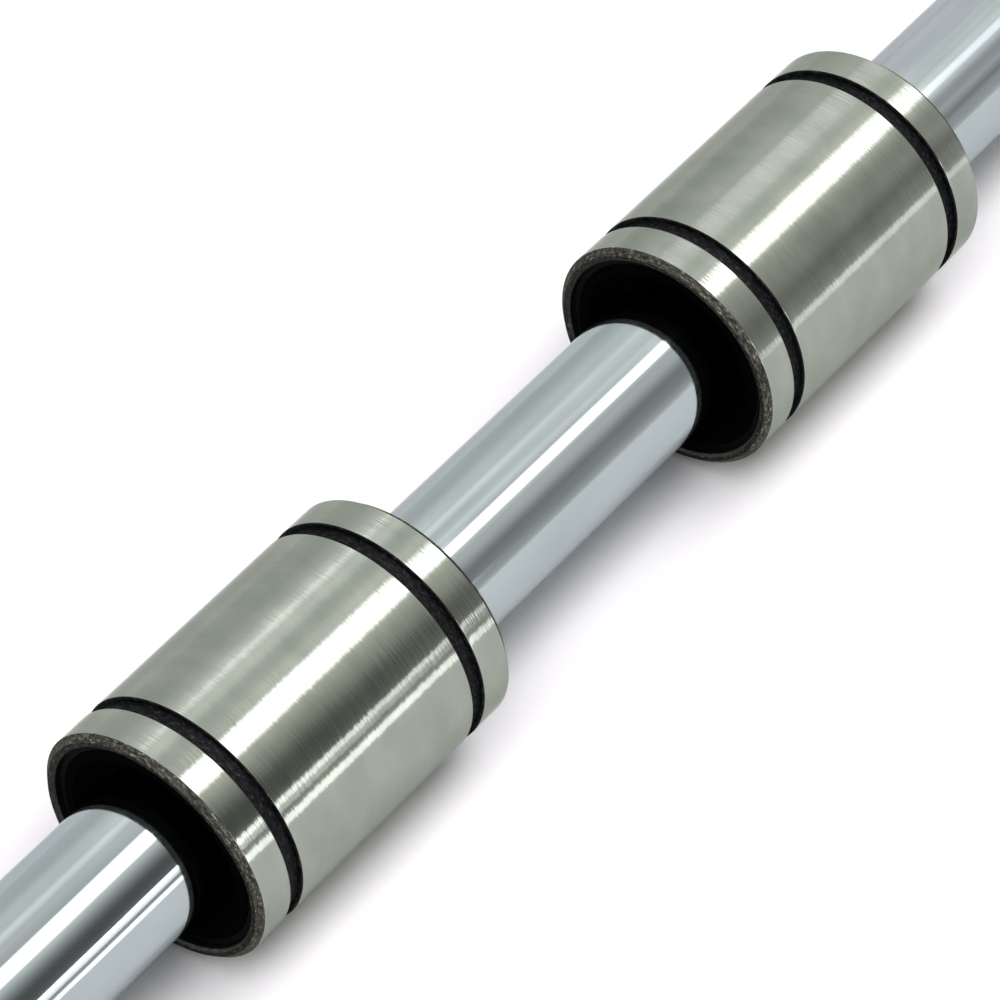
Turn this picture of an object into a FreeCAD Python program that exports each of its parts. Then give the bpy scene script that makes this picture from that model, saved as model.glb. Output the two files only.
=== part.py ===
import FreeCAD
import Part

import math
import os

# A straight, round, hardened shaft that carries two sealed ball bushings.
#
# Frame: millimetres, +X along the shaft, +Z up, origin on the shaft's axis at the
# middle of its length. The left bushing is on the -X side, the right one on the +X side.
# Each bushing is a ground steel sleeve that holds a moulded ball cage, four endless rows of
# balls, a rubber wiper seal at each end and a split ring in front of each seal.
# A row of balls carries load along a straight run under a land of the sleeve, turns round
# at the end of the cage and comes back along a groove, lifted clear of the shaft.

# Shaft
SHAFT_DIAMETER = 12.0
SHAFT_LENGTH = 300.0
SHAFT_CHAMFER = 1.0

# Free shaft between the two bushings as they lie
BUSHING_GAP = 33.4

# Balls
BALL_DIAMETER = 2.381
BALL_ROWS = 4
BALL_SHAFT_CLEARANCE = 0.01
BALL_RACEWAY_CLEARANCE = 0.005
BALL_GAP = 0.02
RETURN_LIFT = 0.7

# Sleeve, from its raceway outwards; with these the outside comes to 21 mm
RETURN_GROOVE_CLEARANCE = 0.059
SEAL_SEAT_STEP = 0.3
RING_GROOVE_DEPTH = 0.3
RING_GROOVE_WALL = 0.75
SLEEVE_LENGTH = 30.0
SLEEVE_CHAMFER = 0.5
MOUTH_CHAMFER = 0.2
RACEWAY_LEAD = 0.4

# Retaining-ring grooves round the outside of the sleeve, each an inset in from its end
CLIP_GROOVE_INSET = 3.5
CLIP_GROOVE_WIDTH = 1.3
CLIP_GROOVE_DEPTH = 0.5
CLIP_GROOVE_EDGE = 0.1

# Split ring inside each mouth of the sleeve
RING_SETBACK = 0.6
RING_THICKNESS = 0.76
RING_WIDTH = 0.87
RING_GAP = 4.0
RING_CLEARANCE = 0.03

# Wiper seal behind each split ring
SEAL_SETBACK = 0.55
SEAL_FLANGE_THICKNESS = 1.8
SEAL_CLEARANCE = 0.05
SEAL_SHOULDER_CLEARANCE = 0.02
SEAL_SHAFT_CLEARANCE = 0.02
SEAL_LIP_THICKNESS = 0.33
SEAL_LIP_WIDTH = 0.4
SEAL_LIP_TAPER = 0.7
SEAL_RIM_WIDTH = 0.75
SEAL_DISH_DEPTH = 1.7

# Cage
CAGE_SHAFT_CLEARANCE = 0.3
CAGE_RACEWAY_CLEARANCE = 0.2
CAGE_END_CLEARANCE = 0.1
CAGE_END_WALL = 1.2
COLLAR_THICKNESS = 1.0
COLLAR_CLEARANCE = 0.1
CHANNEL_CLEARANCE = 0.06
CHANNEL_WEB = 1.2

AXIS = FreeCAD.Vector(1, 0, 0)
CENTRE = FreeCAD.Vector(0, 0, 0)

# Radii, worked out from the shaft outwards
shaft_radius = SHAFT_DIAMETER / 2
ball_radius = BALL_DIAMETER / 2
load_pitch = shaft_radius + BALL_SHAFT_CLEARANCE + ball_radius
return_pitch = load_pitch + RETURN_LIFT
raceway_radius = load_pitch + ball_radius + BALL_RACEWAY_CLEARANCE
return_groove_radius = ball_radius + RETURN_GROOVE_CLEARANCE
relief_radius = return_pitch + return_groove_radius
seat_radius = relief_radius + SEAL_SEAT_STEP
ring_groove_radius = seat_radius + RING_GROOVE_DEPTH
sleeve_radius = ring_groove_radius + RING_GROOVE_WALL

# Places along the axis, measured from the middle of a bushing
sleeve_end = SLEEVE_LENGTH / 2
ring_front = sleeve_end - RING_SETBACK
ring_back = ring_front - RING_THICKNESS
ring_groove_front = ring_front + RING_CLEARANCE
ring_groove_back = ring_back - RING_CLEARANCE
seal_front = sleeve_end - SEAL_SETBACK
lip_front = seal_front - SEAL_DISH_DEPTH
flange_front = ring_groove_back - SEAL_CLEARANCE
seal_back = flange_front - SEAL_FLANGE_THICKNESS
seat_shoulder = seal_back - SEAL_SHOULDER_CLEARANCE
cage_end = seat_shoulder - CAGE_END_CLEARANCE

# The endless path of one row of balls lies in a plane: two runs joined by half circles
channel_radius = ball_radius + CHANNEL_CLEARANCE
run_distance = 2 * channel_radius + CHANNEL_WEB
turn_radius = run_distance / 2
run_end = cage_end - CAGE_END_WALL - channel_radius - turn_radius
path_length = 4 * run_end + 2 * math.pi * turn_radius
row_angle = math.acos(
    (load_pitch**2 + return_pitch**2 - run_distance**2) / (2 * load_pitch * return_pitch)
)


def across(angle, radius):
    """A point at x = 0, at an angle from +Z round the axis and a distance from it."""
    return FreeCAD.Vector(0, radius * math.sin(angle), radius * math.cos(angle))


load_centre = across(-row_angle / 2, load_pitch)
return_centre = across(row_angle / 2, return_pitch)
row_middle = (load_centre + return_centre) * 0.5
row_sideways = (return_centre - load_centre).normalize()
row_outwards = AXIS.cross(row_sideways)


def turned(points):
    """The solid that an outline of (x, radius) points makes when turned about the axis."""
    corners = [FreeCAD.Vector(x, 0, radius) for x, radius in points]
    outline = Part.makePolygon(corners + corners[:1])
    return Part.Face(outline).revolve(CENTRE, AXIS, 360)


def both_halves(right_half):
    """An outline's right half, from the middle round to the middle, with its mirror image."""
    left_half = [(-x, radius) for x, radius in reversed(right_half)]
    return right_half + left_half


def round_the_axis(shape, step, count):
    """As many copies of a shape, one angle in degrees apart about the axis."""
    copies = []
    for index in range(count):
        copy = shape.copy()
        copy.rotate(CENTRE, AXIS, index * step)
        copies.append(copy)
    return copies


def make_shaft():
    end = SHAFT_LENGTH / 2
    right_half = [
        (end - SHAFT_CHAMFER, shaft_radius),
        (end, shaft_radius - SHAFT_CHAMFER),
        (end, 0),
    ]
    return turned(both_halves(right_half))


def sleeve_outline():
    """Half of the sleeve's section: along the outside, then back along the bore."""
    clip_outer = sleeve_end - CLIP_GROOVE_INSET
    clip_inner = clip_outer - CLIP_GROOVE_WIDTH
    clip_floor = sleeve_radius - CLIP_GROOVE_DEPTH
    broken = sleeve_radius - CLIP_GROOVE_EDGE
    outside = [
        (clip_inner - CLIP_GROOVE_EDGE, sleeve_radius),
        (clip_inner, broken),
        (clip_inner, clip_floor),
        (clip_outer, clip_floor),
        (clip_outer, broken),
        (clip_outer + CLIP_GROOVE_EDGE, sleeve_radius),
        (sleeve_end - SLEEVE_CHAMFER, sleeve_radius),
        (sleeve_end, sleeve_radius - SLEEVE_CHAMFER),
    ]
    bore = [
        (sleeve_end, seat_radius + MOUTH_CHAMFER),
        (sleeve_end - MOUTH_CHAMFER, seat_radius),
        (ring_groove_front, seat_radius),
        (ring_groove_front, ring_groove_radius),
        (ring_groove_back, ring_groove_radius),
        (ring_groove_back, seat_radius),
        (seat_shoulder, seat_radius),
        (seat_shoulder, relief_radius),
        (run_end + RACEWAY_LEAD, relief_radius),
        (run_end, raceway_radius),
    ]
    return outside + bore


def make_sleeve():
    """The turned sleeve, with a round groove broached for each returning run of balls."""
    body = turned(both_halves(sleeve_outline()))
    reach = run_end + RACEWAY_LEAD
    start = return_centre - AXIS * reach
    groove = Part.makeCylinder(return_groove_radius, 2 * reach, start, AXIS)
    return body.cut(round_the_axis(groove, 360 / BALL_ROWS, BALL_ROWS))


def channel_section(x):
    """The U-shaped section of a ball channel on its load run, open away from the shaft."""
    centre = load_centre + AXIS * x
    side = row_sideways * channel_radius
    rise = row_outwards * (relief_radius - shaft_radius)
    left = centre - side
    right = centre + side
    bottom = Part.Arc(left, centre - row_outwards * channel_radius, right).toShape()
    walls = Part.makePolygon([right, right + rise, left + rise, left])
    return Part.Face(Part.Wire([bottom] + walls.Edges))


def channel_cutter():
    """What one endless channel takes out of the cage: two straight runs and two half turns."""
    run = channel_section(-run_end).extrude(AXIS * 2 * run_end)
    back_run = run.copy()
    back_run.rotate(row_middle, row_outwards, 180)
    turn = channel_section(run_end).revolve(row_middle + AXIS * run_end, row_outwards, 180)
    back_turn = turn.copy()
    back_turn.rotate(row_middle, row_outwards, 180)
    return run.fuse([turn, back_run, back_turn])


def make_cage():
    """A moulded tube with a collar at each end and an endless channel for each row of balls."""
    bore_radius = shaft_radius + CAGE_SHAFT_CLEARANCE
    body_radius = raceway_radius - CAGE_RACEWAY_CLEARANCE
    collar_radius = relief_radius - COLLAR_CLEARANCE
    right_half = [
        (cage_end - COLLAR_THICKNESS, body_radius),
        (cage_end - COLLAR_THICKNESS, collar_radius),
        (cage_end, collar_radius),
        (cage_end, bore_radius),
    ]
    body = turned(both_halves(right_half))
    return body.cut(round_the_axis(channel_cutter(), 360 / BALL_ROWS, BALL_ROWS))


def path_point(distance):
    """Where the endless path is, a distance along it from the start of its load run."""
    run = 2 * run_end
    half_path = path_length / 2
    on_return = distance >= half_path
    along = distance - half_path if on_return else distance
    if along <= run:
        x = along - run_end
        sideways = -turn_radius
    else:
        turn = (along - run) / turn_radius
        x = run_end + turn_radius * math.sin(turn)
        sideways = -turn_radius * math.cos(turn)
    if on_return:
        x = -x
        sideways = -sideways
    return row_middle + AXIS * x + row_sideways * sideways


def make_ball_row():
    """As many evenly spaced balls as stay clear of each other on the turns."""
    closest = 2 * turn_radius * math.asin((BALL_DIAMETER + BALL_GAP) / (2 * turn_radius))
    count = int(path_length / closest)
    balls = []
    for index in range(count):
        balls.append(Part.makeSphere(ball_radius, path_point(index * path_length / count)))
    return Part.makeCompound(balls)


def make_seal():
    """The right-hand wiper seal: a flange held by the split ring, a dished hub and a tapered lip."""
    lip_radius = shaft_radius + SEAL_SHAFT_CLEARANCE
    crest_radius = lip_radius + SEAL_LIP_THICKNESS
    hub_radius = ring_groove_radius - RING_CLEARANCE - RING_WIDTH - SEAL_CLEARANCE
    flange_radius = seat_radius - SEAL_CLEARANCE
    return turned(
        [
            (lip_front, lip_radius),
            (lip_front, crest_radius),
            (seal_front, hub_radius - SEAL_RIM_WIDTH),
            (seal_front, hub_radius),
            (flange_front, hub_radius),
            (flange_front, flange_radius),
            (seal_back, flange_radius),
            (seal_back, lip_radius + SEAL_LIP_TAPER),
            (lip_front - SEAL_LIP_WIDTH, lip_radius),
        ]
    )


def make_split_ring():
    """The right-hand split ring, with its gap at the bottom."""
    outer = ring_groove_radius - RING_CLEARANCE
    start = FreeCAD.Vector(ring_back, 0, 0)
    ring = Part.makeCylinder(outer, RING_THICKNESS, start, AXIS)
    hole = Part.makeCylinder(outer - RING_WIDTH, RING_THICKNESS, start, AXIS)
    corner = FreeCAD.Vector(ring_back, -RING_GAP / 2, -outer)
    gap = Part.makeBox(RING_THICKNESS, RING_GAP, outer, corner)
    return ring.cut([hole, gap])


def make_bushing(side, centre_x):
    """All the pieces of one bushing, as {node name: shape}, standing at centre_x."""
    outboard_is_right = centre_x > 0
    sleeve = make_sleeve()
    cage = make_cage()
    rows = round_the_axis(make_ball_row(), 360 / BALL_ROWS, BALL_ROWS)
    pieces = {
        f"{side}_sleeve": sleeve,
        f"{side}_cage": cage,
    }
    for number, row in enumerate(rows, start=1):
        pieces[f"{side}_ball_row_{number}"] = row
    for name, right_hand in (("seal", make_seal()), ("split_ring", make_split_ring())):
        left_hand = right_hand.mirror(CENTRE, AXIS)
        outboard, inboard = (right_hand, left_hand) if outboard_is_right else (left_hand, right_hand)
        pieces[f"{side}_outboard_{name}"] = outboard
        pieces[f"{side}_inboard_{name}"] = inboard
    for shape in pieces.values():
        shape.translate(AXIS * centre_x)
    return pieces


def main():
    os.makedirs("parts", exist_ok=True)
    right_centre = (BUSHING_GAP + SLEEVE_LENGTH) / 2
    pieces = {"shaft": make_shaft()}
    pieces.update(make_bushing("left", -right_centre))
    pieces.update(make_bushing("right", right_centre))
    for name, shape in pieces.items():
        shape.exportStep(f"parts/{name}.step")


main()
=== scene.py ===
"""A studio picture of a linear shaft with two ball bushings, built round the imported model.

Metres, +X along the shaft, +Z up, origin on the shaft's axis at the middle of its length.
"""

import math

import bmesh
import bpy
from mathutils import Matrix, Vector


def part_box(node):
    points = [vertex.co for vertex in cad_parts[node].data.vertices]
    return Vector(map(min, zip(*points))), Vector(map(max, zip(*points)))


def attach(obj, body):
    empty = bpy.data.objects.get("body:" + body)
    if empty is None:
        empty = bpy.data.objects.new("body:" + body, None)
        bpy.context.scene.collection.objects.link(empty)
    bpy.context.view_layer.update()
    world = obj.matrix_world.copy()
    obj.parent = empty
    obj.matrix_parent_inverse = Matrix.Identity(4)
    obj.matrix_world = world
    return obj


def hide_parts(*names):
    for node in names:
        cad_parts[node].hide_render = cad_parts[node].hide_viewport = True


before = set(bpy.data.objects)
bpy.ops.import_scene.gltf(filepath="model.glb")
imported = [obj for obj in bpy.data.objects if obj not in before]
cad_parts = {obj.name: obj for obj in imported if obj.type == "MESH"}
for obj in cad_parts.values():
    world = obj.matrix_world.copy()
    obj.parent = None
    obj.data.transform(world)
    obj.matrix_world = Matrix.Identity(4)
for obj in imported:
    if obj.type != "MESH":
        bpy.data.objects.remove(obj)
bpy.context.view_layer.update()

MM = 0.001
NEARLY_ZERO = 1e-9

# Places and sizes that the imported model gives
SHAFT_LOW, SHAFT_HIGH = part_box("shaft")
FLOOR_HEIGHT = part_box("left_sleeve")[0].z
SLEEVE_RADIUS = -FLOOR_HEIGHT
SLEEVE_END = (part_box("left_sleeve")[1].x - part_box("left_sleeve")[0].x) / 2

# Turned pieces are made with this many steps round the axis, and with their edges broken
TURNED_STEPS = 256
EDGE_ROUND = 0.04 * MM
LONGEST_CUT = 0.4
SHAFT_CHAMFER = 1.0 * MM
SHAFT_EDGE_ROUND = 0.15 * MM

# The sleeve's section, as the solids have it
SLEEVE_CHAMFER = 0.5 * MM
MOUTH_CHAMFER = 0.2 * MM
CLIP_INSET = 3.5 * MM
CLIP_WIDTH = 1.3 * MM
CLIP_DEPTH = 0.5 * MM
CLIP_EDGE = 0.1 * MM
SEAT_RADIUS = 9.45 * MM
RING_GROOVE_RADIUS = 9.75 * MM
RING_GROOVE_FRONT = 0.57 * MM
RING_GROOVE_BACK = 1.39 * MM
SEAT_DEPTH = 3.26 * MM
RELIEF_RADIUS = 9.15 * MM
RACEWAY_RADIUS = 8.396 * MM
RACEWAY_LEAD = 0.4 * MM
RACEWAY_DEPTH = 7.4 * MM

# The round grooves inside the sleeve in which the balls come back, one to a row
RETURN_GROOVES = 4
BALL_ROWS = 4
RETURN_GROOVE_RADIUS = 1.2495 * MM
RETURN_GROOVE_PITCH = 7.9005 * MM
RETURN_GROOVE_ANGLE = math.radians(13.94)

# The camera: a long lens that looks down on the shaft from the front left
CAMERA_LENS_MM = 181.79
CAMERA_SENSOR_MM = 36.0
CAMERA_RIGHT = Vector((0.6108, -0.7918, 0.0))
CAMERA_UP = Vector((0.5840, 0.4505, 0.6753))
CAMERA_PLACE = Vector((-0.2144, -0.1618, 0.2911))

# The studio, as angles in degrees about the line on the floor under the shaft: 0 is the front (-Y),
# 90 is overhead. Each stop is (angle, strength). The tent's light changes a little along the shaft.
TENT_RADIUS = 0.8
TENT_HALF_LENGTH = 1.5
TENT_STEPS = 90
SHEET_STEPS = 12
TENT_BLEND = (0.490, 0.520)
TENT_LEFT = (
    (0, 0.95),
    (5, 0.62),
    (10, 0.42),
    (14, 0.38),
    (20, 0.28),
    (25, 0.22),
    (30, 0.20),
    (35, 0.205),
    (38, 0.24),
    (42, 0.32),
    (46, 0.45),
    (50, 0.59),
    (54, 0.68),
    (58, 0.84),
    (62, 0.98),
    (66, 1.10),
    (88, 1.30),
    (92, 1.35),
    (96, 1.25),
    (100, 1.04),
    (104, 0.97),
    (109, 1.00),
    (113, 1.28),
    (118, 1.48),
    (121, 1.28),
    (125, 1.04),
    (140, 1.03),
    (149, 0.86),
    (155, 0.80),
    (165, 0.84),
    (174, 0.89),
    (180, 0.98),
)
TENT_RIGHT = (
    (0, 0.95),
    (4, 0.70),
    (8, 0.56),
    (12, 0.42),
    (17, 0.40),
    (22, 0.34),
    (26, 0.34),
    (31, 0.42),
    (36, 0.52),
    (42, 0.55),
    (49, 0.56),
    (54, 0.62),
    (58, 0.72),
    (62, 0.88),
    (67, 1.10),
    (90, 1.30),
    (95, 1.20),
    (99, 1.06),
    (104, 1.12),
    (110, 1.16),
    (118, 1.32),
    (122, 1.18),
    (126, 1.04),
    (140, 1.03),
    (146, 0.95),
    (159, 0.83),
    (170, 0.80),
    (176, 0.88),
    (180, 0.98),
)
TENT_TINTS = (
    (0.05, (1.00, 1.00, 1.00)),
    (0.20, (1.00, 0.985, 0.925)),
    (0.40, (1.00, 0.985, 0.935)),
    (0.60, (1.00, 1.00, 1.00)),
    (0.70, (1.00, 0.975, 0.98)),
    (0.76, (1.00, 1.00, 1.00)),
)

# Lit sheets nearer than the tent: the main light, which only the floor and rough faces see, and
# what the bright faces mirror: softboxes overhead, a card behind each bushing, low strips in front.
# Each is (name, distance, first X, last X, stops).
SHEET_TINT = (1.0, 0.965, 1.0)
MAIN_LIGHT = (
    "main_light", 2.5, -5.5, 5.5,
    ((60, 0.2), (66, 2.6), (72, 4.1), (83, 4.9), (88, 4.5), (92, 2.4), (98, 0.4)),
)
SHEETS = (
    (
        "softbox_left", 0.60, -1.3, 0.3378,
        ((65.6, 1.2), (70.2, 5.0), (83.4, 5.0), (87.4, 1.5)),
    ),
    (
        "softbox_middle", 0.60, 0.3378, 0.4305,
        ((66.6, 1.2), (70.6, 5.0), (79.0, 5.0), (82.8, 1.1)),
    ),
    (
        "softbox_right", 0.60, 0.4305, 0.5140,
        ((67.4, 1.2), (72.2, 5.0), (85.6, 5.0), (89.6, 1.6)),
    ),
    (
        "softbox_end", 0.60, 0.5140, 1.3,
        ((68.5, 1.0), (73.5, 2.0), (81.0, 2.0), (86.0, 1.1)),
    ),
    (
        "shade_low", 0.78, -1.3, 0.3455,
        ((84, 0.82), (90, 0.82), (94, 0.85), (98, 0.92), (102, 0.98)),
    ),
    (
        "shade_middle", 0.78, 0.4460, 0.5580,
        ((80, 0.85), (85, 0.90), (88, 1.10), (92, 1.25)),
    ),
    (
        "fill_low", 0.78, -1.3, 0.3455,
        ((21, 0.26), (25, 0.19), (32, 0.15), (40, 0.17), (47, 0.33), (54, 0.59), (61, 0.95)),
    ),
    (
        "fill_middle", 0.78, 0.4460, 0.5580,
        (
            (4, 0.70), (9, 0.60), (17, 0.45), (25, 0.41), (33, 0.36), (40, 0.50), (47, 0.74),
            (54, 0.88), (60, 0.88),
        ),
    ),
    (
        "fill_end", 0.78, 0.6570, 1.3,
        (
            (106, 1.12), (113, 1.03), (120, 1.08), (126, 0.97), (133, 1.0), (141, 0.98),
            (150, 1.0), (160, 1.08), (172, 1.06), (179, 1.0),
        ),
    ),
    (
        "fill_end_low", 0.78, 0.6570, 1.3,
        (
            (3, 0.76), (10, 0.62), (18, 0.60), (27, 0.39), (35, 0.58), (41, 0.74), (48, 0.62),
            (55, 0.60), (60, 0.72), (64, 0.96),
        ),
    ),
    (
        "card_left", 0.78, 0.3465, 0.4460,
        ((119, 1.46), (122, 1.52), (125, 2.1), (128, 2.5), (131, 1.7), (140, 1.04)),
    ),
    (
        "card_right", 0.78, 0.5590, 0.6590,
        ((105, 1.14), (109, 1.52), (113, 1.68), (124, 1.76), (129, 1.65), (133, 1.12)),
    ),
    (
        "strip_low_high", 0.60, -1.3, 0.2540,
        ((15.4, 5.0), (20.8, 5.0)),
    ),
    (
        "strip_low_low", 0.60, -1.3, 0.2540,
        ((10.4, 1.9), (15.4, 1.9)),
    ),
    (
        "strip_left_high", 0.60, 0.2540, 0.342,
        ((14.4, 2.3), (19.0, 2.3)),
    ),
    (
        "strip_left_low", 0.60, 0.2540, 0.342,
        ((9.4, 1.15), (14.4, 1.15)),
    ),
    (
        "strip_floor_left", 0.25, -1.0, 0.1305,
        ((0, 3.0), (6.4, 3.0)),
    ),
    (
        "strip_floor_right", 0.25, 0.1880, 0.2410,
        ((0, 2.0), (6.4, 2.0)),
    ),
)

# Light on the floor, and what mirrors and the camera see of the room
ROOM_LIGHT = 0.28
ROOM_SEEN = 1.0
# Share of the sheets' light that the steel throws on to the floor
FLOOR_GLEAM = 0.6
FLOOR_SIZE = 8
FLOOR_TONE = (0.93, 0.93, 0.93, 1)

# Finishes. Clouds, marks and ticks are noise with so many cells a metre along X, Y and Z, and most
# of a noise lies in the usual range. Gloss is the lowest and highest roughness.
USUAL = (0.3, 0.7)
GROUND_CLOUDS = (420, 210, 210)
GROUND_MARKS = (5800, 220, 220)
GROUND_MARK_DEPTH = 0.007 * MM
GROUND_TICKS = (6000, 400, 400)
GROUND_TILT = 0.007
GROUND_GLOSS = (0.08, 0.13)
CHROME_CLOUDS = (120, 300, 300)
CHROME_MARKS = (60, 2600, 2600)
CHROME_MARK_DEPTH = 0.0012 * MM
CHROME_GLOSS = (0.05, 0.09)
ROUGH_STOPS = (0.40, 0.58, 0.70)
ROUGH_DEPTH = 0.03 * MM
GRAIN_CONTRAST = 0.12


def new_material(name):
    """A material with an empty node tree, and its tree."""
    material = bpy.data.materials.new(name)
    material.use_nodes = True
    tree = material.node_tree
    tree.nodes.clear()
    return material, tree


def add(tree, kind, sockets=None, **settings):
    """A new node with its input sockets' values and its own settings."""
    made = tree.nodes.new(kind)
    for key, value in settings.items():
        setattr(made, key, value)
    for key, value in (sockets or {}).items():
        made.inputs[key].default_value = value
    return made


def principled(tree, **sockets):
    """The tree's surface shader, joined to its output."""
    names = {key.replace("_", " "): value for key, value in sockets.items()}
    shader = add(tree, "ShaderNodeBsdfPrincipled", names)
    out = add(tree, "ShaderNodeOutputMaterial")
    tree.links.new(shader.outputs[0], out.inputs[0])
    return shader


def noise(tree, stretch, detail=2.0, roughness=0.5):
    """The value of a noise with so many cells a metre along X, Y and Z."""
    place = add(tree, "ShaderNodeTexCoord")
    scaled = add(tree, "ShaderNodeMapping", {"Scale": stretch})
    made = add(tree, "ShaderNodeTexNoise", {"Scale": 1.0, "Detail": detail, "Roughness": roughness})
    tree.links.new(place.outputs["Object"], scaled.inputs["Vector"])
    tree.links.new(scaled.outputs[0], made.inputs["Vector"])
    return made.outputs[0]


def round_noise(tree, fine, coarse, detail=2.0, roughness=0.5):
    """The value of a noise drawn out round the X axis.

    It has so many fine cells a metre along X and the radius, and coarse ones a radian.
    """
    place = add(tree, "ShaderNodeTexCoord")
    split = add(tree, "ShaderNodeSeparateXYZ")
    tree.links.new(place.outputs["Object"], split.inputs[0])
    outward = add(tree, "ShaderNodeCombineXYZ")
    tree.links.new(split.outputs["Y"], outward.inputs["Y"])
    tree.links.new(split.outputs["Z"], outward.inputs["Z"])
    radius = add(tree, "ShaderNodeVectorMath", operation="LENGTH")
    tree.links.new(outward.outputs[0], radius.inputs[0])
    unit = add(tree, "ShaderNodeVectorMath", operation="NORMALIZE")
    tree.links.new(outward.outputs[0], unit.inputs[0])
    turned = add(tree, "ShaderNodeVectorMath", {1: (0, coarse, coarse)}, operation="MULTIPLY")
    tree.links.new(unit.outputs[0], turned.inputs[0])
    along = add(tree, "ShaderNodeVectorMath", {1: (fine, 0, 0)}, operation="MULTIPLY")
    tree.links.new(place.outputs["Object"], along.inputs[0])
    whole = add(tree, "ShaderNodeVectorMath", operation="ADD")
    tree.links.new(turned.outputs[0], whole.inputs[0])
    tree.links.new(along.outputs[0], whole.inputs[1])
    across = add(tree, "ShaderNodeMath", {1: fine}, operation="MULTIPLY")
    tree.links.new(radius.outputs["Value"], across.inputs[0])
    sockets = {"Scale": 1.0, "Detail": detail, "Roughness": roughness}
    made = add(tree, "ShaderNodeTexNoise", sockets, noise_dimensions="4D")
    tree.links.new(whole.outputs[0], made.inputs["Vector"])
    tree.links.new(across.outputs[0], made.inputs["W"])
    return made.outputs[0]


def spread(tree, value, low, high, new_low, new_high):
    """A value mapped from one range to another, clamped."""
    sockets = {"From Min": low, "From Max": high, "To Min": new_low, "To Max": new_high}
    made = add(tree, "ShaderNodeMapRange", sockets)
    tree.links.new(value, made.inputs["Value"])
    return made.outputs[0]


def tinted(tree, value, stops):
    """A colour that follows a value; stops are (value, colour)."""
    ramp = add(tree, "ShaderNodeValToRGB")
    band = ramp.color_ramp
    band.elements[0].position = stops[0][0]
    band.elements[1].position = stops[-1][0]
    for place, _ in stops[1:-1]:
        band.elements.new(place)
    for element, (_, colour) in zip(band.elements, stops):
        element.color = (*colour, 1)
    tree.links.new(value, ramp.inputs[0])
    return ramp.outputs[0]


def bumped(tree, shader, value, distance):
    """Lets a value raise the surface by up to a distance, and gives the new normal."""
    bump = add(tree, "ShaderNodeBump", {"Strength": 1.0, "Distance": distance})
    tree.links.new(value, bump.inputs["Height"])
    tree.links.new(bump.outputs[0], shader.inputs["Normal"])
    return bump.outputs[0]


def ground_steel():
    """Bearing steel, ground round: fine marks round the axis, soft clouds of tone."""
    material, tree = new_material("ground_steel")
    shader = principled(tree, Metallic=1.0, Specular_Tint=(0.57, 0.59, 0.56, 1), Anisotropic=0.5)
    shader.inputs["Anisotropic Rotation"].default_value = 0.25
    tangent = add(tree, "ShaderNodeTangent", direction_type="RADIAL", axis="X")
    tree.links.new(tangent.outputs[0], shader.inputs["Tangent"])
    clouds = noise(tree, GROUND_CLOUDS, 4.0)
    tones = zip(USUAL, ((0.288, 0.322, 0.278), (0.348, 0.378, 0.323)))
    tree.links.new(tinted(tree, clouds, tuple(tones)), shader.inputs["Base Color"])
    marks = noise(tree, GROUND_MARKS, 3.0)
    tree.links.new(spread(tree, marks, *USUAL, *GROUND_GLOSS), shader.inputs["Roughness"])
    normal = bumped(tree, shader, marks, GROUND_MARK_DEPTH)
    ticks = spread(tree, noise(tree, GROUND_TICKS, 1.0), *USUAL, -GROUND_TILT, GROUND_TILT)
    sideways = add(tree, "ShaderNodeVectorMath", operation="SCALE")
    tree.links.new(tangent.outputs[0], sideways.inputs[0])
    tree.links.new(ticks, sideways.inputs["Scale"])
    tilted = add(tree, "ShaderNodeVectorMath", operation="ADD")
    tree.links.new(normal, tilted.inputs[0])
    tree.links.new(sideways.outputs[0], tilted.inputs[1])
    whole = add(tree, "ShaderNodeVectorMath", operation="NORMALIZE")
    tree.links.new(tilted.outputs[0], whole.inputs[0])
    tree.links.new(whole.outputs[0], shader.inputs["Normal"])
    return material


def rough_steel(name, dark, light, speck, grain, turns):
    """Turned or broken edges: dark and rough, with short marks round the axis."""
    material, tree = new_material(name)
    shader = principled(tree, Metallic=0.75, Roughness=0.55, Specular_Tint=(0.4, 0.4, 0.4, 1))
    specks = round_noise(tree, grain, turns, 3.0, 0.65)
    stops = tuple(zip(ROUGH_STOPS, (dark, light, speck)))
    tree.links.new(tinted(tree, specks, stops), shader.inputs["Base Color"])
    bumped(tree, shader, specks, ROUGH_DEPTH)
    return material


def chrome():
    """The shaft's plated surface, with faint lengthwise marks and soft clouds."""
    material, tree = new_material("shaft_chrome")
    shader = principled(tree, Metallic=1.0, Specular_Tint=(0.66, 0.68, 0.70, 1))
    clouds = noise(tree, CHROME_CLOUDS, 3.0)
    tones = zip(USUAL, ((0.388, 0.450, 0.450), (0.426, 0.485, 0.482)))
    tree.links.new(tinted(tree, clouds, tuple(tones)), shader.inputs["Base Color"])
    marks = noise(tree, CHROME_MARKS, 2.0)
    tree.links.new(spread(tree, marks, *USUAL, *CHROME_GLOSS), shader.inputs["Roughness"])
    bumped(tree, shader, marks, CHROME_MARK_DEPTH)
    return material


def grained(name, colour, roughness, grain, depth, metallic=0.0, specular=0.5):
    """A moulded, lapped or coated surface, with a fine grain in tone, gloss and relief."""
    material, tree = new_material(name)
    shader = principled(tree, Metallic=metallic)
    shader.inputs["Specular IOR Level"].default_value = specular
    tone = noise(tree, (grain, grain, grain), 4.0, 0.6)
    shares = (1 - GRAIN_CONTRAST, 1 + GRAIN_CONTRAST)
    tones = zip(USUAL, [tuple(channel * share for channel in colour) for share in shares])
    tree.links.new(tinted(tree, tone, tuple(tones)), shader.inputs["Base Color"])
    gloss = [roughness * share for share in shares]
    tree.links.new(spread(tree, tone, *USUAL, *gloss), shader.inputs["Roughness"])
    bumped(tree, shader, tone, depth)
    return material


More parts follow.
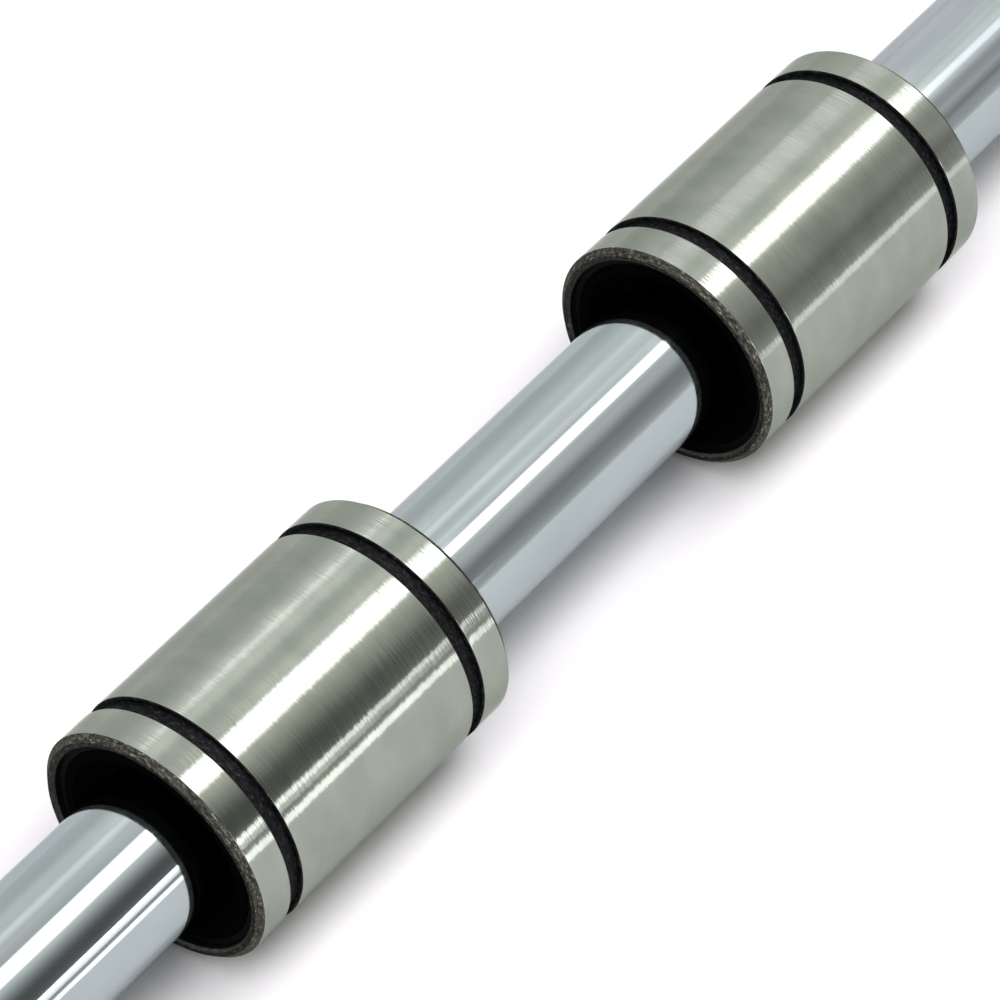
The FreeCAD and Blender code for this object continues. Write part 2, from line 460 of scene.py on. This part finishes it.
def at_angle(degrees, distance):
    """Y and Z of a point of the studio."""
    angle = math.radians(degrees)
    return -distance * math.cos(angle), FLOOR_HEIGHT + distance * math.sin(angle)


def strength_curve(tree, share, stops):
    """The strength at a share of 180 degrees, from (degrees, strength) stops."""
    ramp = add(tree, "ShaderNodeFloatCurve")
    tree.links.new(share, ramp.inputs["Value"])
    ramp.mapping.use_clip = False
    curve = ramp.mapping.curves[0]
    peak = max(strength for _, strength in stops)
    points = [(degrees / 180, strength / peak) for degrees, strength in stops]
    curve.points[0].location = points[0]
    curve.points[1].location = points[-1]
    for point in points[1:-1]:
        curve.points.new(*point)
    for point in curve.points:
        point.handle_type = "VECTOR"
    ramp.mapping.update()
    scale = add(tree, "ShaderNodeMath", {1: peak}, operation="MULTIPLY")
    tree.links.new(ramp.outputs[0], scale.inputs[0])
    return scale.outputs[0]


def angle_share(tree, split):
    """The share of 180 degrees at which a point of the studio lies."""
    minus = add(tree, "ShaderNodeMath", {1: -1}, operation="MULTIPLY")
    tree.links.new(split.outputs["Y"], minus.inputs[0])
    height = add(tree, "ShaderNodeMath", {1: FLOOR_HEIGHT}, operation="SUBTRACT")
    tree.links.new(split.outputs["Z"], height.inputs[0])
    angle = add(tree, "ShaderNodeMath", operation="ARCTAN2")
    tree.links.new(height.outputs[0], angle.inputs[0])
    tree.links.new(minus.outputs[0], angle.inputs[1])
    return spread(tree, angle.outputs[0], 0, math.pi, 0, 1)


def less_gleam(tree, strength):
    """A strength that is lower where the steel throws it on to the floor."""
    path = add(tree, "ShaderNodeLightPath")
    thrown = add(tree, "ShaderNodeMath", operation="MULTIPLY")
    tree.links.new(path.outputs["Is Glossy Ray"], thrown.inputs[0])
    tree.links.new(path.outputs["Diffuse Depth"], thrown.inputs[1])
    kept = add(tree, "ShaderNodeMath", operation="MULTIPLY")
    tree.links.new(strength, kept.inputs[0])
    tree.links.new(spread(tree, thrown.outputs[0], 0, 1, 1, FLOOR_GLEAM), kept.inputs[1])
    return kept.outputs[0]


def glow_material(name, stops, far_stops=None):
    """Light whose strength follows the angle.

    The tent's passes to its far stops along X, and is tinted.
    """
    material, tree = new_material(name)
    place = add(tree, "ShaderNodeTexCoord")
    split = add(tree, "ShaderNodeSeparateXYZ")
    tree.links.new(place.outputs["Object"], split.inputs[0])
    share = angle_share(tree, split)
    strength = strength_curve(tree, share, stops)
    light = add(tree, "ShaderNodeEmission", {"Color": (*SHEET_TINT, 1)})
    if far_stops:
        blend = add(tree, "ShaderNodeMix", data_type="FLOAT")
        tree.links.new(spread(tree, split.outputs["X"], *TENT_BLEND, 0, 1), blend.inputs["Factor"])
        tree.links.new(strength, blend.inputs["A"])
        tree.links.new(strength_curve(tree, share, far_stops), blend.inputs["B"])
        strength = blend.outputs[0]
        tree.links.new(tinted(tree, share, TENT_TINTS), light.inputs["Color"])
    tree.links.new(less_gleam(tree, strength), light.inputs["Strength"])
    out = add(tree, "ShaderNodeOutputMaterial")
    tree.links.new(light.outputs[0], out.inputs[0])
    return material


def arc_sheet(name, angles, distance, ends, steps, material):
    """A stage sheet bent over the shaft, that only reflections show."""
    first, last = angles
    mesh = bpy.data.meshes.new(name)
    build = bmesh.new()
    rows = []
    for step in range(steps + 1):
        y, z = at_angle(first + (last - first) * step / steps, distance)
        rows.append([build.verts.new((x, y, z)) for x in ends])
    for low, high in zip(rows, rows[1:]):
        build.faces.new((low[0], low[1], high[1], high[0]))
    build.to_mesh(mesh)
    build.free()
    mesh.materials.append(material)
    sheet = bpy.data.objects.new(name, mesh)
    bpy.context.scene.collection.objects.link(sheet)
    sheet.visible_camera = False
    sheet.visible_diffuse = False
    sheet.visible_shadow = False
    return sheet


def make_studio():
    """The tent, the main light and the sheets."""
    reach = (-TENT_HALF_LENGTH, TENT_HALF_LENGTH)
    glow = glow_material("tent_glow", TENT_LEFT, TENT_RIGHT)
    arc_sheet("tent", (0, 180), TENT_RADIUS, reach, TENT_STEPS, glow)
    for name, distance, low, high, stops in (MAIN_LIGHT, *SHEETS):
        angles = (stops[0][0], stops[-1][0])
        glow = glow_material(name, stops)
        sheet = arc_sheet(name, angles, distance, (low, high), SHEET_STEPS, glow)
        if name == MAIN_LIGHT[0]:
            sheet.visible_diffuse = True
            sheet.visible_glossy = False


def make_world():
    """A white room, dimmer as a light than as what the camera and mirrors see."""
    world = bpy.data.worlds.new("pale_room")
    bpy.context.scene.world = world
    world.use_nodes = True
    tree = world.node_tree
    tree.nodes.clear()
    path = add(tree, "ShaderNodeLightPath")
    seen = add(tree, "ShaderNodeMath", operation="MAXIMUM")
    tree.links.new(path.outputs["Is Camera Ray"], seen.inputs[0])
    tree.links.new(path.outputs["Is Glossy Ray"], seen.inputs[1])
    seen_too = add(tree, "ShaderNodeMath", operation="MAXIMUM")
    tree.links.new(seen.outputs[0], seen_too.inputs[0])
    tree.links.new(path.outputs["Is Transmission Ray"], seen_too.inputs[1])
    light = add(tree, "ShaderNodeBackground", {"Color": (1, 1, 1, 1)})
    strength = spread(tree, seen_too.outputs[0], 0, 1, ROOM_LIGHT, ROOM_SEEN)
    tree.links.new(strength, light.inputs["Strength"])
    out = add(tree, "ShaderNodeOutputWorld")
    tree.links.new(light.outputs[0], out.inputs[0])


def make_floor():
    """The white floor under the sleeves."""
    bpy.ops.mesh.primitive_plane_add(size=FLOOR_SIZE, location=(0, 0, FLOOR_HEIGHT))
    floor = bpy.context.object
    floor.name = "floor"
    material, tree = new_material("white_floor")
    base = add(tree, "ShaderNodeBsdfDiffuse", {"Color": FLOOR_TONE})
    out = add(tree, "ShaderNodeOutputMaterial")
    tree.links.new(base.outputs[0], out.inputs[0])
    floor.data.materials.append(material)


def make_camera():
    """The camera that renders the picture."""
    data = bpy.data.cameras.new("camera")
    data.lens = CAMERA_LENS_MM
    data.sensor_width = CAMERA_SENSOR_MM
    camera = bpy.data.objects.new("camera", data)
    back = CAMERA_RIGHT.cross(CAMERA_UP)
    turn = Matrix((CAMERA_RIGHT, CAMERA_UP, back)).transposed()
    camera.matrix_world = Matrix.Translation(CAMERA_PLACE) @ turn.to_4x4()
    bpy.context.scene.collection.objects.link(camera)
    bpy.context.scene.camera = camera


def left_of(direction):
    """The normal on a direction's left in the (x, radius) plane: a section's outside."""
    return Vector((-direction.y, direction.x))


def softened(corners, radius, steps=3):
    """The spans of a closed section with its corners rounded.

    Each is (start, end, normal at the start, normal at the end, zone). A corner takes at most a
    set share of either side, and the points of its bend lie on a parabola.
    """
    places = [Vector(place) for place, _ in corners]
    count = len(corners)
    bends = []
    for index, here in enumerate(places):
        into = here - places[index - 1]
        out = places[(index + 1) % count] - here
        turn = into.angle_signed(out)
        longest = LONGEST_CUT * min(into.length, out.length)
        cut = min(radius * abs(math.tan(turn / 2)), longest)
        bends.append((here - into.normalized() * cut, here + out.normalized() * cut, turn))
    spans = []
    for index, (start, end, turn) in enumerate(bends):
        zone = corners[index][1]
        first = left_of((places[index] - places[index - 1]).normalized())
        last = left_of((places[(index + 1) % count] - places[index]).normalized())
        chord = end - start
        points = [start]
        normals = [first]
        for step in range(1, steps):
            share = step / steps
            normals.append(first.lerp(last, share).normalized())
            middle = start.lerp(end, share)
            height = 0.5 * chord.length * math.tan(abs(turn) / 4)
            bulge = height * 4 * share * (1 - share)
            side = (first + last).normalized()
            if side.dot(places[index] - middle) <= 0:
                side = -side
            points.append(middle + side * bulge)
        points.append(end)
        normals.append(last)
        for a, b, normal_a, normal_b in zip(points, points[1:], normals, normals[1:]):
            spans.append((a, b, normal_a, normal_b, zone))
        spans.append((end, bends[(index + 1) % count][0], last, last, zone))
    return spans


def even_angles():
    """The angles of a turned piece's steps, from +Z towards +Y."""
    return [2 * math.pi * step / TURNED_STEPS for step in range(TURNED_STEPS)]


def sleeve_angles():
    """Even angles from +Z, with the nearest ones moved to the return grooves' edges."""
    pitch, groove = RETURN_GROOVE_PITCH, RETURN_GROOVE_RADIUS
    reach = (RACEWAY_RADIUS**2 + pitch**2 - groove**2) / (2 * RACEWAY_RADIUS * pitch)
    half_width = math.acos(reach)
    angles = even_angles()
    for number in range(RETURN_GROOVES):
        middle = RETURN_GROOVE_ANGLE + 2 * math.pi * number / RETURN_GROOVES
        for edge in (middle - half_width, middle + half_width):
            angles[round(edge / angles[1])] = edge
    return angles


def bore_radius(radius, angle):
    """The sleeve's radius where its section has the given one: more inside a return groove."""
    if radius > RELIEF_RADIUS:
        return radius
    apart = 2 * math.pi / RETURN_GROOVES
    aside = (angle - RETURN_GROOVE_ANGLE + apart / 2) % apart - apart / 2
    room = RETURN_GROOVE_RADIUS**2 - (RETURN_GROOVE_PITCH * math.sin(aside)) ** 2
    if room <= 0:
        return radius
    return max(radius, RETURN_GROOVE_PITCH * math.cos(aside) + math.sqrt(room))


def lathe(name, spans, centre_x, materials, angles, radius_at=lambda radius, angle: radius):
    """A mesh turned round the X axis from a section's spans, with a material for each zone."""
    verts, faces, normals, zones = [], [], [], []
    rings = []
    for start, *_ in spans:
        if start.y < NEARLY_ZERO:
            verts.append((centre_x + start.x, 0, 0))
            rings.append([len(verts) - 1] * len(angles))
            continue
        rings.append(list(range(len(verts), len(verts) + len(angles))))
        for angle in angles:
            radius = radius_at(start.y, angle)
            verts.append((centre_x + start.x, radius * math.sin(angle), radius * math.cos(angle)))
    for index, (_, _, first, last, zone) in enumerate(spans):
        low, high = rings[index], rings[(index + 1) % len(rings)]
        for step, angle in enumerate(angles):
            after = (step + 1) % len(angles)
            corners = {low[step]: (first, angle)}
            corners.setdefault(high[step], (last, angle))
            corners.setdefault(high[after], (last, angles[after]))
            corners.setdefault(low[after], (first, angles[after]))
            if len(corners) < 3:
                continue
            faces.append(list(corners))
            zones.append(zone)
            for normal, turn in corners.values():
                normals.append((normal.x, normal.y * math.sin(turn), normal.y * math.cos(turn)))
    mesh = bpy.data.meshes.new(name)
    mesh.from_pydata(verts, [], faces)
    for material in materials:
        mesh.materials.append(material)
    mesh.polygons.foreach_set("material_index", zones)
    mesh.polygons.foreach_set("use_smooth", [True] * len(faces))
    mesh.normals_split_custom_set(normals)
    mesh.update()
    piece = bpy.data.objects.new(name, mesh)
    bpy.context.scene.collection.objects.link(piece)
    return piece


def shaft_section():
    """The shaft's section, closed along its axis; zone 1 is the ends."""
    radius = SHAFT_HIGH.z
    low, high = SHAFT_LOW.x, SHAFT_HIGH.x
    return [
        ((low, 0), 1),
        ((low, radius - SHAFT_CHAMFER), 1),
        ((low + SHAFT_CHAMFER, radius), 0),
        ((high - SHAFT_CHAMFER, radius), 1),
        ((high, radius - SHAFT_CHAMFER), 1),
        ((high, 0), 1),
    ]


def sleeve_section():
    """The sleeve's section.

    Zone 0 is the ground outside, 1 a clip groove, 2 a chamfer, 3 the mouth's edge, 4 the bore and
    5 the end face.
    """
    end = SLEEVE_END
    outer = end - CLIP_INSET
    inner = outer - CLIP_WIDTH
    half = [
        ((inner - CLIP_EDGE, SLEEVE_RADIUS), 1),
        ((inner, SLEEVE_RADIUS - CLIP_EDGE), 1),
        ((inner, SLEEVE_RADIUS - CLIP_DEPTH), 1),
        ((outer, SLEEVE_RADIUS - CLIP_DEPTH), 1),
        ((outer, SLEEVE_RADIUS - CLIP_EDGE), 1),
        ((outer + CLIP_EDGE, SLEEVE_RADIUS), 0),
        ((end - SLEEVE_CHAMFER, SLEEVE_RADIUS), 2),
        ((end, SLEEVE_RADIUS - SLEEVE_CHAMFER), 5),
        ((end, SEAT_RADIUS + MOUTH_CHAMFER), 3),
        ((end - MOUTH_CHAMFER, SEAT_RADIUS), 4),
        ((end - RING_GROOVE_FRONT, SEAT_RADIUS), 4),
        ((end - RING_GROOVE_FRONT, RING_GROOVE_RADIUS), 4),
        ((end - RING_GROOVE_BACK, RING_GROOVE_RADIUS), 4),
        ((end - RING_GROOVE_BACK, SEAT_RADIUS), 4),
        ((end - SEAT_DEPTH, SEAT_RADIUS), 4),
        ((end - SEAT_DEPTH, RELIEF_RADIUS), 4),
        ((end - RACEWAY_DEPTH + RACEWAY_LEAD, RELIEF_RADIUS), 4),
        ((end - RACEWAY_DEPTH, RACEWAY_RADIUS), 4),
    ]
    mirrored = []
    for index in range(len(half) - 1, -1, -1):
        (x, radius), _ = half[index]
        mirrored.append(((-x, radius), half[index - 1][1] if index else 0))
    return half + mirrored


def stands_for(piece, node, body):
    """Lets a turned piece replace a solid and move with its body."""
    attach(piece, body)
    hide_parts(node)


def repaint(name, material):
    """Gives a solid its own material."""
    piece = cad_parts[name]
    piece.data.materials.clear()
    piece.data.materials.append(material)


def make_part():
    """The turned shaft and sleeves, and the materials of the other pieces."""
    steel = ground_steel()
    plated = chrome()
    groove = rough_steel(
        "groove_steel", (0.004, 0.004, 0.005), (0.015, 0.016, 0.017), (0.05, 0.05, 0.05),
        grain=4200, turns=22,
    )
    rim = rough_steel(
        "rim_steel", (0.020, 0.020, 0.016), (0.085, 0.083, 0.066), (0.34, 0.33, 0.26),
        grain=6000, turns=26,
    )
    # The end face is the rim's dark scale made darker still. The scale is real; the extra darkness
    # is painted shade.
    face = rough_steel(
        "shaded_face_steel", (0.010, 0.010, 0.008), (0.034, 0.034, 0.028), (0.17, 0.16, 0.12),
        grain=6000, turns=26,
    )
    # The mouth's edge is the same dark scale made lighter: a painted highlight along the thin edge.
    mouth_edge_highlight = rough_steel(
        "mouth_edge_steel", (0.055, 0.057, 0.050), (0.085, 0.088, 0.078), (0.15, 0.15, 0.13),
        grain=6000, turns=26,
    )
    # The steel bore is painted near black: painted shade inside the mouth.
    bore = grained("bore_painted_shade", (0.004, 0.004, 0.004), 0.6, 2400, 0.004 * MM, specular=0.1)
    black = (0.0008, 0.0008, 0.0010)
    rubber = grained("black_rubber", black, 0.7, 3200, 0.003 * MM, specular=0.005)
    spring = grained("dark_spring", (0.003, 0.003, 0.0035), 0.6, 3600, 0.002 * MM, specular=0.02)
    resin = grained("cage_resin", (0.72, 0.70, 0.62), 0.45, 900, 0.003 * MM)
    balls = grained("ball_chrome", (0.62, 0.63, 0.64), 0.06, 700, 0.0002 * MM, metallic=1.0)
    end_steel = rough_steel(
        "shaft_end_steel", (0.24, 0.25, 0.25), (0.31, 0.32, 0.32), (0.42, 0.43, 0.43),
        grain=2600, turns=5,
    )

    spans = softened(shaft_section(), SHAFT_EDGE_ROUND)
    piece = lathe("ground_shaft", spans, 0, (plated, end_steel), even_angles())
    stands_for(piece, "shaft", "shaft")
    spans = softened(sleeve_section(), EDGE_ROUND)
    sleeve_materials = (steel, groove, rim, mouth_edge_highlight, bore, face)
    for side in ("left", "right"):
        low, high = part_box(f"{side}_sleeve")
        middle = (low.x + high.x) / 2
        name = f"{side}_turned_sleeve"
        piece = lathe(name, spans, middle, sleeve_materials, sleeve_angles(), bore_radius)
        stands_for(piece, f"{side}_sleeve", f"{side}_bushing")
        repaint(f"{side}_cage", resin)
        for number in range(1, BALL_ROWS + 1):
            repaint(f"{side}_ball_row_{number}", balls)
        for place in ("outboard", "inboard"):
            repaint(f"{side}_{place}_seal", rubber)
            repaint(f"{side}_{place}_split_ring", spring)


bpy.context.scene.view_settings.view_transform = "Standard"
make_camera()
make_world()
make_floor()
make_studio()
make_part()
